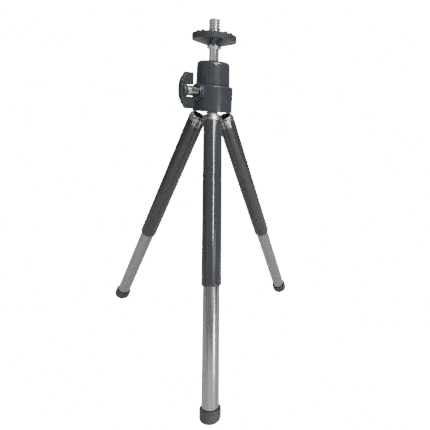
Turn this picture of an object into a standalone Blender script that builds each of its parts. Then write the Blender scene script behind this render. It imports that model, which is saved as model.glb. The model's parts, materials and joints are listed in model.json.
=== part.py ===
"""Mini desktop tripod with a ball head.

Three telescopic legs hinge on a small hub under a black head. The head holds a ball whose stem
carries a 1/4"-20 camera screw and a lock disc, and a wing knob on its side clamps the ball.

Metres, +Z up. The origin is on the ground, under the middle of the tripod's bounding box.
Heights in the head are measured from the head's underside. Distances called "down" are measured
down a leg's centre line from the point where it meets that underside plane.
"""

import math

import bmesh
import bpy
from mathutils import Vector

MM = 0.001
GAP = 0.3 * MM
SHARP_ANGLE = math.radians(35)
ROUND_STEPS = 24
FINE_STEPS = 32
SMALL_STEPS = 16
DOME_STEPS = 6
BOW_STEPS = 12
EYE_STEPS = 8
HOLLOW_STEPS = 5
ROUNDING_STEPS = 4

# Legs
LEG_AZIMUTHS = {"front": math.radians(-90), "right": math.radians(30), "left": math.radians(150)}
LEG_SPREAD = math.radians(24.6)
LEG_TOP_OFFSET = 7.5 * MM
HINGE_DOWN = 3.2 * MM
TUBE_TOP_DOWN = 6.3 * MM
TUBE_END_DOWN = 90.0 * MM
TUBE_RADIUS = 5.0 * MM
TUBE_WALL = 0.5 * MM
LOWER_TOP_DOWN = 66.0 * MM
LOWER_RADIUS = 4.15 * MM
BUSH_FLANGE = 1.5 * MM
BUSH_PLUG = 6.0 * MM
FOOT_RIM_DOWN = 144.7 * MM
FOOT_RADIUS = 5.16 * MM
FOOT_LENGTH = 6.1 * MM
FOOT_ROUNDING = 2.6 * MM
FOOT_SOCKET_DEPTH = 4.0 * MM

# Leg caps and hub
CAP_CROWN_DOWN = 1.6 * MM
CAP_CROWN_RADIUS = 1.8 * MM
CAP_SHOULDER_DOWN = 4.0 * MM
PLUG_END_DOWN = 11.0 * MM
HINGE_SLOT_WIDTH = 2.6 * MM
HINGE_SLOT_OUTER = 2.3 * MM
HINGE_SLOT_DOWN = 5.6 * MM
PIN_RADIUS = 0.7 * MM
PIN_LENGTH = 9.2 * MM
HUB_RADIUS = 3.2 * MM
HUB_HEIGHT = 6.9 * MM
TONGUE_THICKNESS = 2.0 * MM
TONGUE_EYE_RADIUS = 1.9 * MM
HUB_SCREW_RADIUS = 1.6 * MM
HUB_SCREW_HEAD_RADIUS = 2.8 * MM
HUB_SCREW_HEAD_HEIGHT = 1.6 * MM
HUB_SCREW_DEPTH = 2.6 * MM
WASHER_THICKNESS = 0.6 * MM

# Head
BASE_RADIUS = 10.96 * MM
BASE_HEIGHT = 13.6 * MM
BASE_FLOOR = 3.2 * MM
BASE_CHAMFER = 0.6 * MM
SPIGOT_RADIUS = 8.2 * MM
CUP_RADIUS_LOW = 9.25 * MM
CUP_RADIUS_HIGH = 8.9 * MM
CUP_TOP = 25.9 * MM
CUP_ROUNDING = 2.0 * MM
BALL_RADIUS = 6.2 * MM
BALL_HEIGHT = 17.6 * MM
LIP_RADIUS = 4.6 * MM
MOUTH_RADIUS = 6.9 * MM
SLOT_AZIMUTH = math.radians(90)
SLOT_RADIUS = 3.1 * MM

# Clamp on the side of the head
KNOB_AZIMUTH = math.radians(225)
KNOB_HEIGHT = 10.0 * MM
BOSS_RADIUS = 4.2 * MM
BOSS_START = 9.6 * MM
BOSS_END = 12.3 * MM
INSERT_RADIUS = 3.3 * MM
INSERT_START = 8.8 * MM
INSERT_END = 12.6 * MM
CLAMP_THREAD_RADIUS = 2.2 * MM
CLAMP_TIP = 7.4 * MM
SHANK_RADIUS = 2.6 * MM
SHANK_START = 12.9 * MM
COLLAR_RADIUS = 3.0 * MM
COLLAR_START = 19.2 * MM
COLLAR_END = 20.2 * MM
TANG_RADIUS = 1.5 * MM
TANG_END = 22.3 * MM
WING_INNER = 15.7 * MM
WING_CORNER = 20.6 * MM
WING_OUTER = 24.0 * MM
WING_HALF_HEIGHT = 8.85 * MM
WING_THICKNESS = 2.8 * MM
WING_NOTCH = 3.5 * MM
KNOB_HUB_END = 22.9 * MM
SHOE_RADIUS = 2.3 * MM

# Seat under the ball
SEAT_RADIUS = 6.1 * MM
SEAT_EDGE_RADIUS = 5.0 * MM
SEAT_CONE_TOP = 12.9 * MM
SEAT_BOTTOM = 7.0 * MM
SEAT_BOTTOM_RADIUS = 1.2 * MM

# Stem, lock disc and pad
STEM_RADIUS = 2.7 * MM
STEM_SPIGOT_RADIUS = 1.9 * MM
STEM_SPIGOT_DEPTH = 4.0 * MM
FLANGE_RADIUS = 3.9 * MM
FLANGE_BOTTOM = 32.4 * MM
FLANGE_TOP = 33.8 * MM
SCREW_RADIUS = 3.175 * MM
SCREW_TOP = 46.7 * MM
SCREW_TIP_CHAMFER = 0.8 * MM
DISC_BOTTOM = 34.1 * MM
DISC_HUB_RADIUS = 5.25 * MM
DISC_RIM_BOTTOM = 36.4 * MM
DISC_TOP = 39.2 * MM
DISC_RADIUS = 11.75 * MM
DISC_CHAMFER = 0.4 * MM
PAD_RADIUS = 10.3 * MM
PAD_TOP = 40.1 * MM
PAD_BED = 38.2 * MM

# Colour, metallic value and roughness of each material
FINISHES = {
    "black_plastic": ((0.022, 0.025, 0.028, 1.0), 0.0, 0.32),
    "black_enamel": ((0.020, 0.022, 0.025, 1.0), 0.0, 0.25),
    "chrome": ((0.62, 0.62, 0.60, 1.0), 1.0, 0.18),
    "satin_steel": ((0.50, 0.50, 0.49, 1.0), 1.0, 0.34),
    "rubber": ((0.035, 0.035, 0.037, 1.0), 0.0, 0.75),
    "nylon": ((0.55, 0.54, 0.50, 1.0), 0.0, 0.5),
    "brass": ((0.62, 0.46, 0.20, 1.0), 1.0, 0.3),
}


def clear_scene():
    """Remove the objects of the start-up scene."""
    for item in list(bpy.data.objects):
        bpy.data.objects.remove(item, do_unlink=True)


def make_collection(name):
    collection = bpy.data.collections.new(name)
    bpy.context.scene.collection.children.link(collection)
    return collection


def make_material(name, finish):
    """A Principled material of the given finish, one for each sub-part."""
    colour, metallic, roughness = FINISHES[finish]
    material = bpy.data.materials.new(name)
    material.use_nodes = True
    shader = material.node_tree.nodes["Principled BSDF"]
    shader.inputs["Base Color"].default_value = colour
    shader.inputs["Metallic"].default_value = metallic
    shader.inputs["Roughness"].default_value = roughness
    material.diffuse_color = colour
    return material


def arc(centre, radius, start, end, steps):
    """Points (x, y) along an arc about centre, its angles measured from +x towards +y."""
    points = []
    for step in range(steps + 1):
        angle = start + (end - start) * step / steps
        points.append((centre[0] + radius * math.cos(angle), centre[1] + radius * math.sin(angle)))
    return points


def place(item, parent, location=(0, 0, 0), rotation=(0, 0, 0)):
    item.parent = parent
    item.location = location
    item.rotation_euler = rotation
    return item


def make_empty(name, parent=None, location=(0, 0, 0), rotation=(0, 0, 0)):
    empty = bpy.data.objects.new(name, None)
    parts.objects.link(empty)
    return place(empty, parent, location, rotation)


def link_part(name, mesh, finish):
    """A new object for a sub-part, with a material of its own."""
    part = bpy.data.objects.new(name, mesh)
    parts.objects.link(part)
    mesh.materials.append(make_material(name, finish))
    return part


def link_cutter(name, mesh):
    cutter = bpy.data.objects.new(name, mesh)
    cutters.objects.link(cutter)
    cutter.hide_render = True
    cutter.display_type = "WIRE"
    return cutter


def add_screw(item, steps):
    screw = item.modifiers.new("Turn", "SCREW")
    screw.axis = "Z"
    screw.angle = math.tau
    screw.steps = steps
    screw.render_steps = steps
    screw.use_merge_vertices = True
    screw.merge_threshold = 0.001 * MM
    screw.use_smooth_shade = True


def profile_mesh(name, profile, closed):
    """A chain of edges through (radius, height) points, down the outer side."""
    mesh = bpy.data.meshes.new(name)
    count = len(profile)
    edges = [(index, index + 1) for index in range(count - 1)]
    if closed:
        edges.append((count - 1, 0))
    mesh.from_pydata([(radius, 0, height) for radius, height in profile], edges, [])
    return mesh


def turned(name, profile, finish, closed=False, steps=ROUND_STEPS):
    """A turned sub-part. A closed profile makes a ring, an open one runs from axis to axis."""
    part = link_part(name, profile_mesh(name, profile, closed), finish)
    add_screw(part, steps)
    return part


def turned_cutter(name, profile, steps=ROUND_STEPS):
    cutter = link_cutter(name, profile_mesh(name, profile, closed=False))
    add_screw(cutter, steps)
    return cutter


def rod_mesh(name, radius, length, steps, start=0.0):
    """A cylinder along +Z from the height start."""
    mesh = bpy.data.meshes.new(name)
    shape = bmesh.new()
    bmesh.ops.create_cone(
        shape, cap_ends=True, segments=steps, radius1=radius, radius2=radius, depth=length
    )
    bmesh.ops.translate(shape, verts=shape.verts, vec=(0, 0, start + length / 2))
    shape.to_mesh(mesh)
    shape.free()
    return mesh


def box_mesh(name, low, high):
    """A box between two corners."""
    mesh = bpy.data.meshes.new(name)
    shape = bmesh.new()
    bmesh.ops.create_cube(shape, size=1.0)
    size = Vector(high) - Vector(low)
    middle = (Vector(high) + Vector(low)) / 2
    bmesh.ops.scale(shape, verts=shape.verts, vec=size)
    bmesh.ops.translate(shape, verts=shape.verts, vec=middle)
    shape.to_mesh(mesh)
    shape.free()
    return mesh


def plate_mesh(name, outline, thickness):
    """A flat plate: a filled 2D curve extruded to each side of its local XY plane."""
    curve = bpy.data.curves.new(name + "_outline", "CURVE")
    curve.dimensions = "2D"
    curve.fill_mode = "BOTH"
    curve.extrude = thickness / 2
    spline = curve.splines.new("POLY")
    spline.points.add(len(outline) - 1)
    for point, (x, y) in zip(spline.points, outline):
        point.co = (x, y, 0, 1)
    spline.use_cyclic_u = True
    carrier = bpy.data.objects.new(name + "_outline", curve)
    cutters.objects.link(carrier)
    depsgraph = bpy.context.evaluated_depsgraph_get()
    mesh = bpy.data.meshes.new_from_object(carrier.evaluated_get(depsgraph))
    bpy.data.objects.remove(carrier, do_unlink=True)
    mesh.name = name
    shape = bmesh.new()
    shape.from_mesh(mesh)
    bmesh.ops.remove_doubles(shape, verts=shape.verts, dist=0.001 * MM)
    bmesh.ops.recalc_face_normals(shape, faces=shape.faces)
    shape.to_mesh(mesh)
    shape.free()
    return mesh


def combine(part, tool, operation):
    """Join a tool to a part, or cut it away."""
    boolean = part.modifiers.new(tool.name, "BOOLEAN")
    boolean.operation = operation
    boolean.solver = "EXACT"
    boolean.object = tool


def settle(part):
    """Apply a sub-part's modifiers and shade its round faces smooth."""
    depsgraph = bpy.context.evaluated_depsgraph_get()
    mesh = bpy.data.meshes.new_from_object(part.evaluated_get(depsgraph))
    part.modifiers.clear()
    part.data = mesh
    mesh.name = part.name
    mesh.shade_smooth()
    mesh.set_sharp_from_angle(angle=SHARP_ANGLE)


def from_hinge(down):
    """Height in a leg's own frame, whose origin is the hinge pin, of a distance down the leg."""
    return HINGE_DOWN - down


def foot_profile():
    """The rubber foot, a cup: out from the bottom's middle, up its side and down inside it."""
    rim = from_hinge(FOOT_RIM_DOWN)
    bottom = rim - FOOT_LENGTH
    corner = (FOOT_RADIUS - FOOT_ROUNDING, bottom + FOOT_ROUNDING)
    socket_radius = LOWER_RADIUS + GAP
    floor = rim - FOOT_SOCKET_DEPTH
    inside = [(0, floor), (socket_radius, floor), (socket_radius, rim)]
    outside = [(FOOT_RADIUS - GAP, rim), (FOOT_RADIUS, rim - GAP)]
    rounding = arc(corner, FOOT_ROUNDING, 0, -math.pi / 2, HOLLOW_STEPS)
    return inside + outside + rounding + [(0, bottom)]


def leg_reach(direction, azimuth):
    """How far a leg's foot reaches along a direction, from the hinge pin."""
    out = Vector((math.cos(azimuth), math.sin(azimuth), 0))
    along = Vector((0, 0, 1)) * math.cos(LEG_SPREAD) - out * math.sin(LEG_SPREAD)
    lean = along.dot(direction)
    across = math.sqrt(1 - lean * lean)
    return max(height * lean + radius * across for radius, height in foot_profile())


def hinge_point(azimuth):
    """A hinge pin's middle, from the head axis and the head's underside."""
    offset = LEG_TOP_OFFSET + HINGE_DOWN * math.sin(LEG_SPREAD)
    return Vector((
        offset * math.cos(azimuth),
        offset * math.sin(azimuth),
        -HINGE_DOWN * math.cos(LEG_SPREAD),
    ))


def tripod_origin():
    """The head axis at the head's underside, with the feet's box centred over the origin."""
    front = LEG_AZIMUTHS["front"]
    back = LEG_AZIMUTHS["right"]
    reach_front = leg_reach(Vector((0, -1, 0)), front) - hinge_point(front).y
    reach_back = leg_reach(Vector((0, 1, 0)), back) + hinge_point(back).y
    height = leg_reach(Vector((0, 0, -1)), front) - hinge_point(front).z
    return Vector((0, (reach_front - reach_back) / 2, height))


def tongue_outline():
    """One hub tongue from the side: a strip that ends in an eye round the hinge pin."""
    pin = hinge_point(0)
    root = HUB_RADIUS - TONGUE_EYE_RADIUS / 2
    eye = arc((pin.x, pin.z), TONGUE_EYE_RADIUS, -math.pi / 2, math.pi / 2, EYE_STEPS)
    return [(root, pin.z - TONGUE_EYE_RADIUS)] + eye + [(root, pin.z + TONGUE_EYE_RADIUS)]


def make_hub(tripod):
    """The chrome hub: a short boss with three tongues that carry the hinge pins."""
    bore = HUB_SCREW_RADIUS + GAP
    top = -GAP
    bottom = top - HUB_HEIGHT
    ring = [(HUB_RADIUS, top), (HUB_RADIUS, bottom), (bore, bottom), (bore, top)]
    hub = place(turned("hub", ring, "chrome", closed=True), tripod)
    outline = tongue_outline()
    for side, azimuth in LEG_AZIMUTHS.items():
        tongue = link_cutter("tongue_" + side, plate_mesh("tongue_" + side, outline, TONGUE_THICKNESS))
        place(tongue, tripod, rotation=(math.pi / 2, 0, azimuth))
        combine(hub, tongue, "UNION")
    for side, azimuth in LEG_AZIMUTHS.items():
        mesh = rod_mesh("eye_" + side, PIN_RADIUS + GAP, PIN_LENGTH, SMALL_STEPS, -PIN_LENGTH / 2)
        eye = link_cutter("eye_" + side, mesh)
        place(eye, tripod, hinge_point(azimuth), (math.pi / 2, 0, azimuth))
        combine(hub, eye, "DIFFERENCE")
    settle(hub)


def make_hub_fasteners(tripod):
    """The screw that holds the head on the hub, and the washer under its head."""
    washer_top = -HUB_HEIGHT - 2 * GAP
    washer_bottom = washer_top - WASHER_THICKNESS
    inner = HUB_SCREW_RADIUS + GAP
    outer = HUB_RADIUS
    ring = [(outer, washer_top), (outer, washer_bottom), (inner, washer_bottom), (inner, washer_top)]
    settle(place(turned("hub_washer", ring, "chrome", closed=True), tripod))

    head_top = washer_bottom - GAP
    head_bottom = head_top - HUB_SCREW_HEAD_HEIGHT
    rounding = HUB_SCREW_HEAD_HEIGHT / 2
    corner = (HUB_SCREW_HEAD_RADIUS - rounding, head_bottom + rounding)
    profile = [(0, HUB_SCREW_DEPTH), (HUB_SCREW_RADIUS, HUB_SCREW_DEPTH), (HUB_SCREW_RADIUS, head_top)]
    profile += [(HUB_SCREW_HEAD_RADIUS, head_top)]
    profile += arc(corner, rounding, 0, -math.pi / 2, ROUNDING_STEPS)
    profile += [(0, head_bottom)]
    settle(place(turned("hub_screw", profile, "chrome", steps=SMALL_STEPS), tripod))


def make_leg_cap(side, hinge):
    """The chrome cap that plugs the top of a leg and straddles the hub's tongue."""
    dome_radius = TUBE_RADIUS - CAP_CROWN_RADIUS
    dome_height = CAP_SHOULDER_DOWN - CAP_CROWN_DOWN
    profile = [(0, from_hinge(CAP_CROWN_DOWN))]
    for step in range(DOME_STEPS + 1):
        angle = math.pi / 2 * step / DOME_STEPS
        radius = CAP_CROWN_RADIUS + dome_radius * math.sin(angle)
        profile.append((radius, from_hinge(CAP_SHOULDER_DOWN - dome_height * math.cos(angle))))
    plug_radius = TUBE_RADIUS - TUBE_WALL - GAP
    seat = from_hinge(TUBE_TOP_DOWN - GAP)
    profile += [(TUBE_RADIUS, seat), (plug_radius, seat), (plug_radius, from_hinge(PLUG_END_DOWN))]
    profile += [(0, from_hinge(PLUG_END_DOWN))]
    cap = place(turned("leg_cap_" + side, profile, "chrome"), hinge)

    low = (-2 * TUBE_RADIUS, -HINGE_SLOT_WIDTH / 2, from_hinge(HINGE_SLOT_DOWN))
    high = (HINGE_SLOT_OUTER, HINGE_SLOT_WIDTH / 2, from_hinge(-TUBE_RADIUS))
    slot = place(link_cutter("cap_slot_" + side, box_mesh("cap_slot_" + side, low, high)), hinge)
    combine(cap, slot, "DIFFERENCE")
    length = 3 * TUBE_RADIUS
    mesh = rod_mesh("cap_bore_" + side, PIN_RADIUS + GAP, length, SMALL_STEPS, -length / 2)
    bore = place(link_cutter("cap_bore_" + side, mesh), hinge, rotation=(math.pi / 2, 0, 0))
    combine(cap, bore, "DIFFERENCE")
    settle(cap)


def make_outer_tube(side, hinge):
    """The black upper tube of a leg, with its mouth rounded over."""
    top = from_hinge(TUBE_TOP_DOWN)
    end = from_hinge(TUBE_END_DOWN)
    inner = TUBE_RADIUS - TUBE_WALL
    lip = TUBE_WALL / 2
    ring = [(TUBE_RADIUS, top), (TUBE_RADIUS, end + lip), (TUBE_RADIUS - lip, end)]
    ring += [(inner, end), (inner, top)]
    settle(place(turned("outer_tube_" + side, ring, "black_enamel", closed=True), hinge))


def make_lower_leg(side, hinge):
    """The steel tube that slides in a leg, the nylon bush in its top and the rubber foot."""
    top = from_hinge(LOWER_TOP_DOWN)
    end = from_hinge(FOOT_RIM_DOWN) - FOOT_SOCKET_DEPTH + GAP
    inner = LOWER_RADIUS - TUBE_WALL
    ring = [(LOWER_RADIUS, top), (LOWER_RADIUS, end), (inner, end), (inner, top)]
    settle(place(turned("inner_tube_" + side, ring, "satin_steel", closed=True), hinge))

    flange_bottom = top + GAP
    flange_top = flange_bottom + BUSH_FLANGE
    plug_end = top - BUSH_PLUG
    plug_radius = inner - GAP
    bore = plug_radius / 2
    bush = [(LOWER_RADIUS, flange_top), (LOWER_RADIUS, flange_bottom), (plug_radius, flange_bottom)]
    bush += [(plug_radius, plug_end), (bore, plug_end), (bore, flange_top)]
    settle(place(turned("slide_bush_" + side, bush, "nylon", closed=True), hinge))

    settle(place(turned("rubber_foot_" + side, foot_profile(), "rubber"), hinge))


def make_leg(side, tripod):
    """One whole leg on its hinge. The leg's own -Z runs down its centre line."""
    azimuth = LEG_AZIMUTHS[side]
    hinge = make_empty("leg_hinge_" + side, tripod, hinge_point(azimuth), (0, -LEG_SPREAD, azimuth))
    mesh = rod_mesh("hinge_pin_" + side, PIN_RADIUS, PIN_LENGTH, SMALL_STEPS, -PIN_LENGTH / 2)
    pin = link_part("hinge_pin_" + side, mesh, "chrome")
    settle(place(pin, hinge, rotation=(math.pi / 2, 0, 0)))
    make_leg_cap(side, hinge)
    make_outer_tube(side, hinge)
    make_lower_leg(side, hinge)


def make_head_base(tripod):
    """The wide lower body of the head, with the boss that the clamp screw enters."""
    bore = SPIGOT_RADIUS + GAP
    hole = HUB_SCREW_RADIUS + GAP
    ring = [(BASE_RADIUS - BASE_CHAMFER, BASE_HEIGHT), (BASE_RADIUS, BASE_HEIGHT - BASE_CHAMFER)]
    ring += [(BASE_RADIUS, BASE_CHAMFER), (BASE_RADIUS - BASE_CHAMFER, 0)]
    ring += [(hole, 0), (hole, BASE_FLOOR), (bore, BASE_FLOOR), (bore, BASE_HEIGHT)]
    base = place(turned("head_base", ring, "black_plastic", closed=True, steps=FINE_STEPS), tripod)

    axis = dict(location=(0, 0, KNOB_HEIGHT), rotation=(0, math.pi / 2, KNOB_AZIMUTH))
    mesh = rod_mesh("boss", BOSS_RADIUS, BOSS_END - BOSS_START, ROUND_STEPS, BOSS_START)
    boss = place(link_cutter("boss", mesh), tripod, **axis)
    combine(base, boss, "UNION")
    hole_start = SPIGOT_RADIUS / 2
    hole_length = BOSS_END - hole_start + MM
    mesh = rod_mesh("insert_hole", INSERT_RADIUS + GAP, hole_length, ROUND_STEPS, hole_start)
    insert_hole = place(link_cutter("insert_hole", mesh), tripod, **axis)
    combine(base, insert_hole, "DIFFERENCE")
    settle(base)


def make_ball_socket(tripod):
    """The cup over the ball: a spigot in the base, a spherical hollow and a slot to lay the stem in."""
    hollow = BALL_RADIUS + GAP
    equator = BALL_HEIGHT
    lip_angle = math.acos(LIP_RADIUS / hollow)
    bottom = BASE_FLOOR + GAP
    skirt = BASE_HEIGHT + GAP
    corner = (CUP_RADIUS_HIGH - CUP_ROUNDING, CUP_TOP - CUP_ROUNDING)
    ring = [(MOUTH_RADIUS, CUP_TOP)]
    ring += arc(corner, CUP_ROUNDING, math.pi / 2, 0, ROUNDING_STEPS)
    ring += [(CUP_RADIUS_LOW, skirt), (SPIGOT_RADIUS, skirt), (SPIGOT_RADIUS, bottom), (hollow, bottom)]
    ring += arc((0, equator), hollow, 0, lip_angle, ROUNDING_STEPS)
    socket = place(turned("ball_socket", ring, "black_plastic", closed=True, steps=FINE_STEPS), tripod)

    low = (0, -SLOT_RADIUS, equator)
    high = (2 * CUP_RADIUS_LOW, SLOT_RADIUS, CUP_TOP + SLOT_RADIUS)
    slot = link_cutter("stem_slot", box_mesh("stem_slot", low, high))
    combine(socket, place(slot, tripod, rotation=(0, 0, SLOT_AZIMUTH)), "DIFFERENCE")
    mesh = rod_mesh("stem_slot_end", SLOT_RADIUS, 2 * CUP_RADIUS_LOW, ROUND_STEPS)
    slot_end = link_cutter("stem_slot_end", mesh)
    place(slot_end, tripod, (0, 0, equator), (0, math.pi / 2, SLOT_AZIMUTH))
    combine(socket, slot_end, "DIFFERENCE")
    bore_start = SPIGOT_RADIUS / 2
    mesh = rod_mesh("shoe_bore", SHOE_RADIUS + GAP, SPIGOT_RADIUS, ROUND_STEPS, bore_start)
    shoe_bore = link_cutter("shoe_bore", mesh)
    place(shoe_bore, tripod, (0, 0, KNOB_HEIGHT), (0, math.pi / 2, KNOB_AZIMUTH))
    combine(socket, shoe_bore, "DIFFERENCE")
    settle(socket)


def make_ball_seat(tripod):
    """The nylon plunger under the ball: a hollow top and a conical underside for the shoe to wedge up."""
    hollow = BALL_RADIUS + GAP
    edge_angle = math.asin(SEAT_EDGE_RADIUS / hollow)
    dish = arc((0, BALL_HEIGHT), hollow, -math.pi / 2, edge_angle - math.pi / 2, HOLLOW_STEPS)
    profile = [(0, BALL_HEIGHT - hollow)] + dish[1:]
    profile += [(SEAT_RADIUS, dish[-1][1]), (SEAT_RADIUS, SEAT_CONE_TOP)]
    profile += [(SEAT_BOTTOM_RADIUS, SEAT_BOTTOM), (0, SEAT_BOTTOM)]
    settle(place(turned("ball_seat", profile, "nylon"), tripod))


def make_clamp(tripod):
    """The clamp: a threaded insert, a brass shoe inside, the screw, and the wing knob on it."""
    level = make_empty("clamp_axis", tripod, (0, 0, KNOB_HEIGHT))
    outward = (0, math.pi / 2, KNOB_AZIMUTH)

    inner = CLAMP_THREAD_RADIUS + GAP
    ring = [(INSERT_RADIUS, INSERT_END), (INSERT_RADIUS, INSERT_START)]
    ring += [(inner, INSERT_START), (inner, INSERT_END)]
    settle(place(turned("thread_insert", ring, "chrome", closed=True), level, rotation=outward))

    shoe_end = CLAMP_TIP - GAP
    shoe = link_part("brake_shoe", rod_mesh("brake_shoe", SHOE_RADIUS, shoe_end, ROUND_STEPS), "brass")
    place(shoe, level, rotation=outward)
    wedge = [(0, SEAT_CONE_TOP + MM), (SEAT_RADIUS + 2 * GAP, SEAT_CONE_TOP + MM)]
    wedge += [(SEAT_RADIUS + 2 * GAP, SEAT_CONE_TOP), (SEAT_BOTTOM_RADIUS + 2 * GAP, SEAT_BOTTOM)]
    wedge += [(SEAT_BOTTOM_RADIUS + 2 * GAP, BASE_FLOOR), (0, BASE_FLOOR)]
    combine(shoe, place(turned_cutter("seat_clearance", wedge), tripod), "DIFFERENCE")
    settle(shoe)

    profile = [(0, TANG_END), (TANG_RADIUS, TANG_END), (TANG_RADIUS, COLLAR_END), (COLLAR_RADIUS, COLLAR_END)]
    profile += [(COLLAR_RADIUS, COLLAR_START), (SHANK_RADIUS, COLLAR_START), (SHANK_RADIUS, SHANK_START)]
    profile += [(CLAMP_THREAD_RADIUS, SHANK_START), (CLAMP_THREAD_RADIUS, CLAMP_TIP), (0, CLAMP_TIP)]
    settle(place(turned("clamp_screw", profile, "chrome"), level, rotation=outward))

    make_clamp_knob(level, outward)


def wing_outline():
    """The wing seen from its flat side: straight edges inside, a bowed edge outside."""
    sagitta = WING_OUTER - WING_CORNER
    bow = (WING_HALF_HEIGHT ** 2 + sagitta ** 2) / (2 * sagitta)
    half_angle = math.asin(WING_HALF_HEIGHT / bow)
    notch_floor = COLLAR_END + GAP
    outline = [(WING_INNER, -WING_HALF_HEIGHT)]
    outline += arc((WING_OUTER - bow, 0), bow, -half_angle, half_angle, BOW_STEPS)
    outline += [(WING_INNER, WING_HALF_HEIGHT), (WING_INNER, WING_NOTCH), (notch_floor, WING_NOTCH)]
    outline += [(notch_floor, -WING_NOTCH), (WING_INNER, -WING_NOTCH)]
    return outline


def make_clamp_knob(level, outward):
    """The wing knob: a bowed plate notched round the screw, with a round hub on its tang."""
    upright = (math.pi / 2, 0, KNOB_AZIMUTH)
    wing = plate_mesh("clamp_knob", wing_outline(), WING_THICKNESS)
    knob = place(link_part("clamp_knob", wing, "black_enamel"), level, rotation=upright)
    hub_start = COLLAR_END + GAP
    mesh = rod_mesh("knob_hub", COLLAR_RADIUS, KNOB_HUB_END - hub_start, ROUND_STEPS, hub_start)
    combine(knob, place(link_cutter("knob_hub", mesh), level, rotation=outward), "UNION")
    bore_length = TANG_END + GAP - WING_INNER
    mesh = rod_mesh("tang_bore", TANG_RADIUS + GAP, bore_length, SMALL_STEPS, WING_INNER)
    combine(knob, place(link_cutter("tang_bore", mesh), level, rotation=outward), "DIFFERENCE")
    settle(knob)


def make_ball_and_stem(tripod):
    """The ball, and the stem in it that ends in the camera screw. Their origin is the ball's centre."""
    centre = make_empty("ball_centre", tripod, (0, 0, BALL_HEIGHT))
    mesh = bpy.data.meshes.new("ball")
    shape = bmesh.new()
    bmesh.ops.create_uvsphere(shape, u_segments=ROUND_STEPS, v_segments=SMALL_STEPS, radius=BALL_RADIUS)
    shape.to_mesh(mesh)
    shape.free()
    ball = place(link_part("ball", mesh, "chrome"), centre)
    spigot_end = BALL_RADIUS - STEM_SPIGOT_DEPTH
    mesh = rod_mesh("stem_bore", STEM_SPIGOT_RADIUS + GAP, BALL_RADIUS, ROUND_STEPS, spigot_end - GAP)
    combine(ball, place(link_cutter("stem_bore", mesh), centre), "DIFFERENCE")
    settle(ball)

    top = SCREW_TOP - BALL_HEIGHT
    flange_top = FLANGE_TOP - BALL_HEIGHT
    flange_bottom = FLANGE_BOTTOM - BALL_HEIGHT
    shoulder = BALL_RADIUS + GAP
    profile = [(0, top), (SCREW_RADIUS - SCREW_TIP_CHAMFER, top), (SCREW_RADIUS, top - SCREW_TIP_CHAMFER)]
    profile += [(SCREW_RADIUS, flange_top), (FLANGE_RADIUS, flange_top), (FLANGE_RADIUS, flange_bottom)]
    profile += [(STEM_RADIUS, flange_bottom), (STEM_RADIUS, shoulder), (STEM_SPIGOT_RADIUS, shoulder)]
    profile += [(STEM_SPIGOT_RADIUS, spigot_end), (0, spigot_end)]
    settle(place(turned("camera_screw", profile, "chrome"), centre))


def make_disc_and_pad(tripod):
    """The lock disc that runs on the camera screw, and the rubber pad bedded in its top."""
    bore = SCREW_RADIUS + GAP
    bed_radius = PAD_RADIUS + GAP
    ring = [(bed_radius, DISC_TOP), (DISC_RADIUS - DISC_CHAMFER, DISC_TOP)]
    ring += [(DISC_RADIUS, DISC_TOP - DISC_CHAMFER), (DISC_RADIUS, DISC_RIM_BOTTOM)]
    ring += [(DISC_HUB_RADIUS, DISC_BOTTOM), (bore, DISC_BOTTOM), (bore, PAD_BED), (bed_radius, PAD_BED)]
    settle(place(turned("lock_disc", ring, "black_plastic", closed=True, steps=FINE_STEPS), tripod))

    bottom = PAD_BED + GAP
    inner = bore + GAP
    ring = [(PAD_RADIUS, PAD_TOP), (PAD_RADIUS, bottom), (inner, bottom), (inner, PAD_TOP)]
    settle(place(turned("rubber_pad", ring, "rubber", closed=True, steps=FINE_STEPS), tripod))


clear_scene()
parts = make_collection("mini_tripod")
cutters = make_collection("cutters")
cutters.hide_render = True
tripod_centre = make_empty("head_axis", location=tripod_origin())
bpy.context.view_layer.update()
make_hub(tripod_centre)
make_hub_fasteners(tripod_centre)
for leg_side in LEG_AZIMUTHS:
    make_leg(leg_side, tripod_centre)
make_head_base(tripod_centre)
make_ball_socket(tripod_centre)
make_ball_seat(tripod_centre)
make_clamp(tripod_centre)
make_ball_and_stem(tripod_centre)
make_disc_and_pad(tripod_centre)
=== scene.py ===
import json
import math

import bmesh
import bpy
from mathutils import Matrix, Vector


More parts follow.
